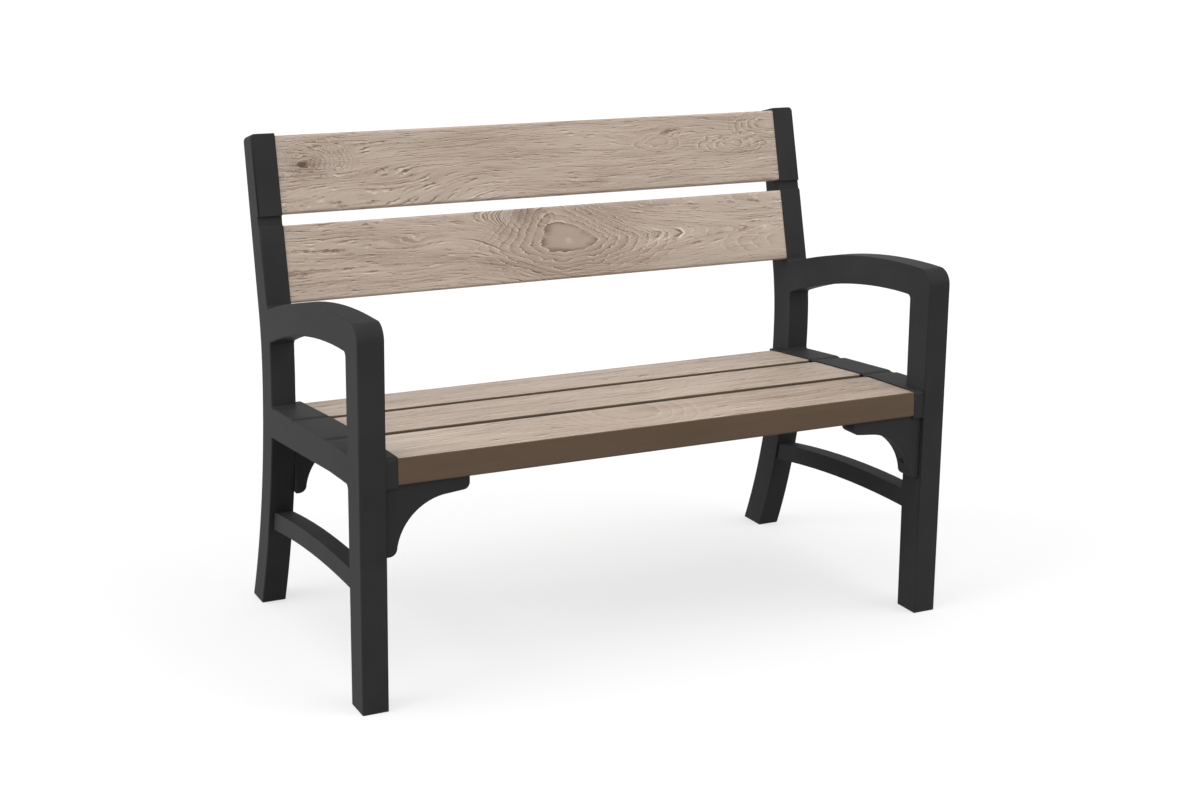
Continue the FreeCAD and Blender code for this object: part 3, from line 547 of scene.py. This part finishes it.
# The sides on which a seat slat faces another one
GAP_SIDES = {
    "seat_slat_front": ("rear",),
    "seat_slat_middle": ("front", "rear"),
    "seat_slat_rear": ("front",),
}
# The rounding of a seat slat's corner, the share of it that is kept, and the cuts across the slat that
# carry it: they lie closer together towards the end, where the corner turns faster
SLAT_CORNER = 0.010
SLAT_CORNER_KEPT = 0.9
SLAT_CORNER_CUTS = (0, 0.25, 0.5, 0.7, 0.84, 0.93, 0.98, 1)
# A seat slat's end drops over the last fifth of its corner, in its upper 30 mm
SLAT_END_DROP = 1.6 * MM
SLAT_DROP_FROM = 0.8
SLAT_DROP_LENGTH = 0.2
SLAT_TOP_PART = 0.03
# How a seat slat's faces are told apart, by the cosine of their lean: the top's largest face points
# up, the embossed faces lean less than 18 degrees from it, and a side points to the front or rear
UPWARD = 0.9
EMBOSSED = 0.95
SIDEWAYS = 0.5

HEAD_SIDES = 24
# How wide and how high each ring of a screw head lies, as shares of its radius and height, and how
# wide its drive is and how high the drive's floor lies
HEAD_RINGS = ((1.0, 0.2), (0.95, 0.5), (0.84, 0.76), (0.68, 0.92), (0.5, 1.0))
DRIVE_WIDE = 0.33
DRIVE_FLOOR = 0.35


def merged_copy(node):
    """A copy of a CAD part with its seams closed and its flat faces whole."""
    shape = bmesh.new()
    shape.from_mesh(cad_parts[node].data)
    bmesh.ops.remove_doubles(shape, verts=shape.verts, dist=SEAM)
    bmesh.ops.dissolve_limit(shape, angle_limit=FLAT_BEND, verts=shape.verts, edges=shape.edges)
    return shape


def soften(shape, width, wanted=None, bend=FRAME_BEND):
    """Ease the edges that turn more than the bend and pass the test, given their two ends."""
    picked = []
    for edge in shape.edges:
        if not edge.is_manifold or edge.calc_face_angle() < bend:
            continue
        first, last = (v.co for v in edge.verts)
        if wanted is None or wanted(first, last):
            picked.append(edge)
    bmesh.ops.bevel(
        shape,
        geom=picked,
        offset=width,
        segments=EASE_SEGMENTS,
        profile=0.5,
        affect="EDGES",
        clamp_overlap=False,
        loop_slide=True,
        material=-1,
    )


def finish_piece(shape, node, slot, *materials):
    """Make the shape an object that takes the place of the CAD part."""
    bmesh.ops.dissolve_degenerate(shape, dist=SPECK, edges=shape.edges)
    name = node + "_finished"
    mesh = bpy.data.meshes.new(name)
    shape.to_mesh(mesh)
    shape.free()
    mesh.shade_smooth()
    mesh.set_sharp_from_angle(angle=SMOOTH_BEND)
    for material in materials:
        mesh.materials.append(material)
    made = bpy.data.objects.new(name, mesh)
    bpy.context.scene.collection.objects.link(made)
    # Flat faces stay flat beside the eased edges
    even = made.modifiers.new("even_normals", "WEIGHTED_NORMAL")
    even.keep_sharp = True
    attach(made, "root")
    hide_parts(node)


def runs_on(distance):
    """A test for the long edges in the upright plane at that distance from the bench's middle."""

    def test(first, last):
        level = all(abs(abs(end.x) - distance) < ON_PLANE for end in (first, last))
        return level and (first - last).length > LONG_EDGE

    return test


def side_frame(node):
    """A leg frame: its feet, post top and long inner edges, which the CAD part leaves sharp, are eased."""
    shape = merged_copy(node)
    soften(shape, FOOT_EASE, lambda first, last: max(first.z, last.z) < FOOT_TO)
    soften(shape, POST_TOP_EASE, lambda first, last: min(first.z, last.z) > POST_TOP_FROM)
    soften(shape, POST_EASE, runs_on(POST_INNER))
    soften(shape, RAIL_EASE, runs_on(SLAT_SHOWN))
    finish_piece(shape, node, "graphite_moulding", GRAPHITE)


def corner_bracket(node):
    """A bracket: all its edges are eased but those round the pit of its lower screw."""
    shape = merged_copy(node)
    pit = [e for e in shape.edges if e.is_manifold and e.calc_face_angle() > FOLD_BEND]
    middle = sum((v.co for e in pit for v in e.verts), Vector()) / (2 * len(pit))
    soften(shape, BRACKET_EASE, lambda first, last: ((first + last) / 2 - middle).length > PIT_REACH)
    finish_piece(shape, node, "graphite_moulding", GRAPHITE)


def eased_end(shape, side, middle_y, gap_sides):
    """Round a seat slat's corner beside each gap, and drop its end a little to the rail."""
    flat = SLAT_SHOWN - SLAT_CORNER
    for share in SLAT_CORNER_CUTS:
        bmesh.ops.bisect_plane(
            shape,
            geom=shape.verts[:] + shape.edges[:] + shape.faces[:],
            plane_co=(side * (flat + SLAT_CORNER * share), 0, 0),
            plane_no=(1, 0, 0),
            dist=SEAM,
        )
    half = max(v.co.y for v in shape.verts) - middle_y
    top = max(v.co.z for v in shape.verts)
    for vert in shape.verts:
        past = min(abs(vert.co.x), SLAT_SHOWN) - flat
        if vert.co.x * side < 0 or past <= 0:
            continue
        inward = SLAT_CORNER - math.sqrt(max(SLAT_CORNER**2 - past**2, 0))
        over = vert.co.y - middle_y
        if (over > 0 and "rear" in gap_sides) or (over < 0 and "front" in gap_sides):
            vert.co.y -= over / half * inward * SLAT_CORNER_KEPT
        near = max(past / SLAT_CORNER - SLAT_DROP_FROM, 0) / SLAT_DROP_LENGTH
        if vert.co.z > top - SLAT_TOP_PART:
            vert.co.z -= SLAT_END_DROP * near * near


def back_slat(node):
    """A back plank: embossed all round."""
    shape = merged_copy(node)
    soften(shape, SLAT_EASE, bend=SLAT_BEND)
    finish_piece(shape, node, "weathered_oak_plank", OAK[node])


def seat_slat(node):
    """A seat plank: embossed on its top, plain brown below, and a deeper brown painted as shade in the
    gaps.
    """
    shape = merged_copy(node)
    soften(shape, SLAT_EASE, bend=SLAT_BEND)
    gap_sides = GAP_SIDES[node]
    ys = [v.co.y for v in shape.verts]
    for side in (-1, 1):
        eased_end(shape, side, (min(ys) + max(ys)) / 2, gap_sides)
    shape.normal_update()
    upward = [face for face in shape.faces if face.normal.z > UPWARD]
    top = max(upward, key=lambda face: face.calc_area()).normal.copy()
    for face in shape.faces:
        facing = "rear" if face.normal.y > 0 else "front"
        if face.normal.dot(top) > EMBOSSED:
            face.material_index = 0
        # Sides that face a gap take the deeper brown of painted shade
        elif abs(face.normal.y) > SIDEWAYS and facing in gap_sides:
            face.material_index = 2
        else:
            face.material_index = 1
    finish_piece(shape, node, "weathered_oak_plank", OAK[node], BROWN, GAP_SHADE_BROWN)


def draw_up(made, edges, shape_of):
    """Extrude a ring of edges and move each new point to where the shape puts its direction."""
    out = bmesh.ops.extrude_edge_only(made, edges=edges)["geom"]
    for vert in (g for g in out if isinstance(g, bmesh.types.BMVert)):
        angle = math.atan2(vert.co.y, vert.co.x)
        reach, height = shape_of(angle)
        vert.co = (reach * math.cos(angle), reach * math.sin(angle), height)
    return [g for g in out if isinstance(g, bmesh.types.BMEdge)]


def six_sided(angle):
    """How far out the drive's wall lies in that direction, as a share of the head's radius."""
    return DRIVE_WIDE / math.cos(angle % (math.pi / 3) - math.pi / 6)


def screw_head(shape, place, axis, radius, tall):
    """A pan head with a six-sided drive: rings from the rim over the dome and down to the drive's floor."""
    made = bmesh.new()
    bmesh.ops.create_circle(made, segments=HEAD_SIDES, radius=radius)
    edges = made.edges[:]
    for wide, high in HEAD_RINGS:
        edges = draw_up(made, edges, lambda angle: (wide * radius, high * tall))
    for high in (1.0, DRIVE_FLOOR):
        edges = draw_up(made, edges, lambda angle: (radius * six_sided(angle), high * tall))
    bmesh.ops.contextual_create(made, geom=edges)
    bmesh.ops.contextual_create(made, geom=[e for e in made.edges if e.is_boundary])
    bmesh.ops.recalc_face_normals(made, faces=made.faces)
    turned = Matrix.Translation(place) @ axis.to_track_quat("Z", "Y").to_matrix().to_4x4()
    bmesh.ops.transform(made, matrix=turned, verts=made.verts)
    mesh = bpy.data.meshes.new("head")
    made.to_mesh(mesh)
    made.free()
    shape.from_mesh(mesh)
    bpy.data.meshes.remove(mesh)


def islands(shape):
    """The separate solids of a CAD part, as lists of vertices."""
    seen = set()
    found = []
    for start in shape.verts:
        if start in seen:
            continue
        seen.add(start)
        reached = [start]
        for vert in reached:
            for edge in vert.link_edges:
                other = edge.other_vert(vert)
                if other not in seen:
                    seen.add(other)
                    reached.append(other)
        found.append(reached)
    return found


def screws(node):
    """Screw heads in the places of the CAD part's plain discs."""
    plain = merged_copy(node)
    shape = bmesh.new()
    for verts in islands(plain):
        cap = max((f for v in verts for f in v.link_faces), key=lambda face: face.calc_area())
        middle = sum((v.co for v in verts), Vector()) / len(verts)
        # Every head faces the bench's middle, the back or the ground
        outward = Vector((-0.5 if middle.x > 0 else 0.5, 0.7, -0.5))
        axis = cap.normal if cap.normal.dot(outward) > 0 else -cap.normal
        heights = [(v.co - middle).dot(axis) for v in verts]
        radius = max(((v.co - middle) - (v.co - middle).dot(axis) * axis).length for v in verts)
        tall = max(heights) - min(heights)
        screw_head(shape, middle + axis * min(heights), axis, radius, tall)
    plain.free()
    finish_piece(shape, node, "screw_steel", STEEL)


for node in sorted(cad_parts):
    if "screws" in node:
        screws(node)
    elif "seat" in node:
        seat_slat(node)
    elif "back" in node:
        back_slat(node)
    elif "bracket" in node:
        corner_bracket(node)
    else:
        side_frame(node)

# Studio

LAMPS = {
    # name: where the light comes from, how wide it is in degrees, and its strength
    "top": ((-0.1, -0.2, 0.97), 60, 0.9),
    "left": ((-0.95, 0, 0.3), 50, 2.3),
    "right": ((0.65, -0.6, 0.45), 60, 1.35),
}
# The surround lights the bench at half strength, and is white where it is seen or mirrored
SURROUND = 0.5
# The floor is a matt grey that takes the shadow, and glows to white where it is seen or mirrored
FLOOR_SHADE = 0.35
FLOOR_GLOW = 0.64
FLOOR_HALF = 30


def seen_by_eye(tree, path):
    """1 where the camera sees a face itself or in a gloss, and 0 where the face only lights others."""
    rays = {0: path.outputs["Is Camera Ray"], 1: path.outputs["Is Glossy Ray"]}
    return add(tree, "Math", rays, operation="MAXIMUM")


def studio():
    """A white floor that keeps the bench's shadow, a white surround, and soft lamps."""
    world = bpy.data.worlds.new("surround")
    world.use_nodes = True
    bpy.context.scene.world = world
    tree = world.node_tree
    tree.nodes.clear()
    path = add(tree, "LightPath")
    seen = seen_by_eye(tree, path)
    shown = add(tree, "Math", {0: seen, 1: path.outputs["Is Transmission Ray"]}, operation="MAXIMUM")
    strength = add(tree, "MapRange", {"Value": shown, "To Min": SURROUND, "To Max": 1.0})
    back = add(tree, "Background", {"Color": (1, 1, 1, 1), "Strength": strength.outputs[0]})
    add(tree, "OutputWorld", {"Surface": back})

    made, tree = new_material("white_floor")
    seen = seen_by_eye(tree, add(tree, "LightPath"))
    matt = add(tree, "BsdfDiffuse", {"Color": (FLOOR_SHADE, FLOOR_SHADE, FLOOR_SHADE, 1)})
    strength = add(tree, "Math", {0: seen, 1: FLOOR_GLOW}, operation="MULTIPLY")
    glow = add(tree, "Emission", {"Color": (1, 1, 1, 1), "Strength": strength})
    both = add(tree, "AddShader", {0: matt, 1: glow})
    add(tree, "OutputMaterial", {"Surface": both})
    shape = bmesh.new()
    bmesh.ops.create_grid(shape, x_segments=1, y_segments=1, size=FLOOR_HALF)
    mesh = bpy.data.meshes.new("floor")
    shape.to_mesh(mesh)
    shape.free()
    mesh.materials.append(made)
    floor = bpy.data.objects.new("floor", mesh)
    bpy.context.scene.collection.objects.link(floor)

    for name, (direction, width, strength) in LAMPS.items():
        lamp = bpy.data.lights.new(name, "SUN")
        lamp.angle = math.radians(width)
        lamp.energy = strength
        holder = bpy.data.objects.new(name, lamp)
        holder.matrix_world = Vector(direction).to_track_quat("Z", "Y").to_matrix().to_4x4()
        bpy.context.scene.collection.objects.link(holder)


studio()
bpy.context.scene.view_settings.view_transform = "Standard"
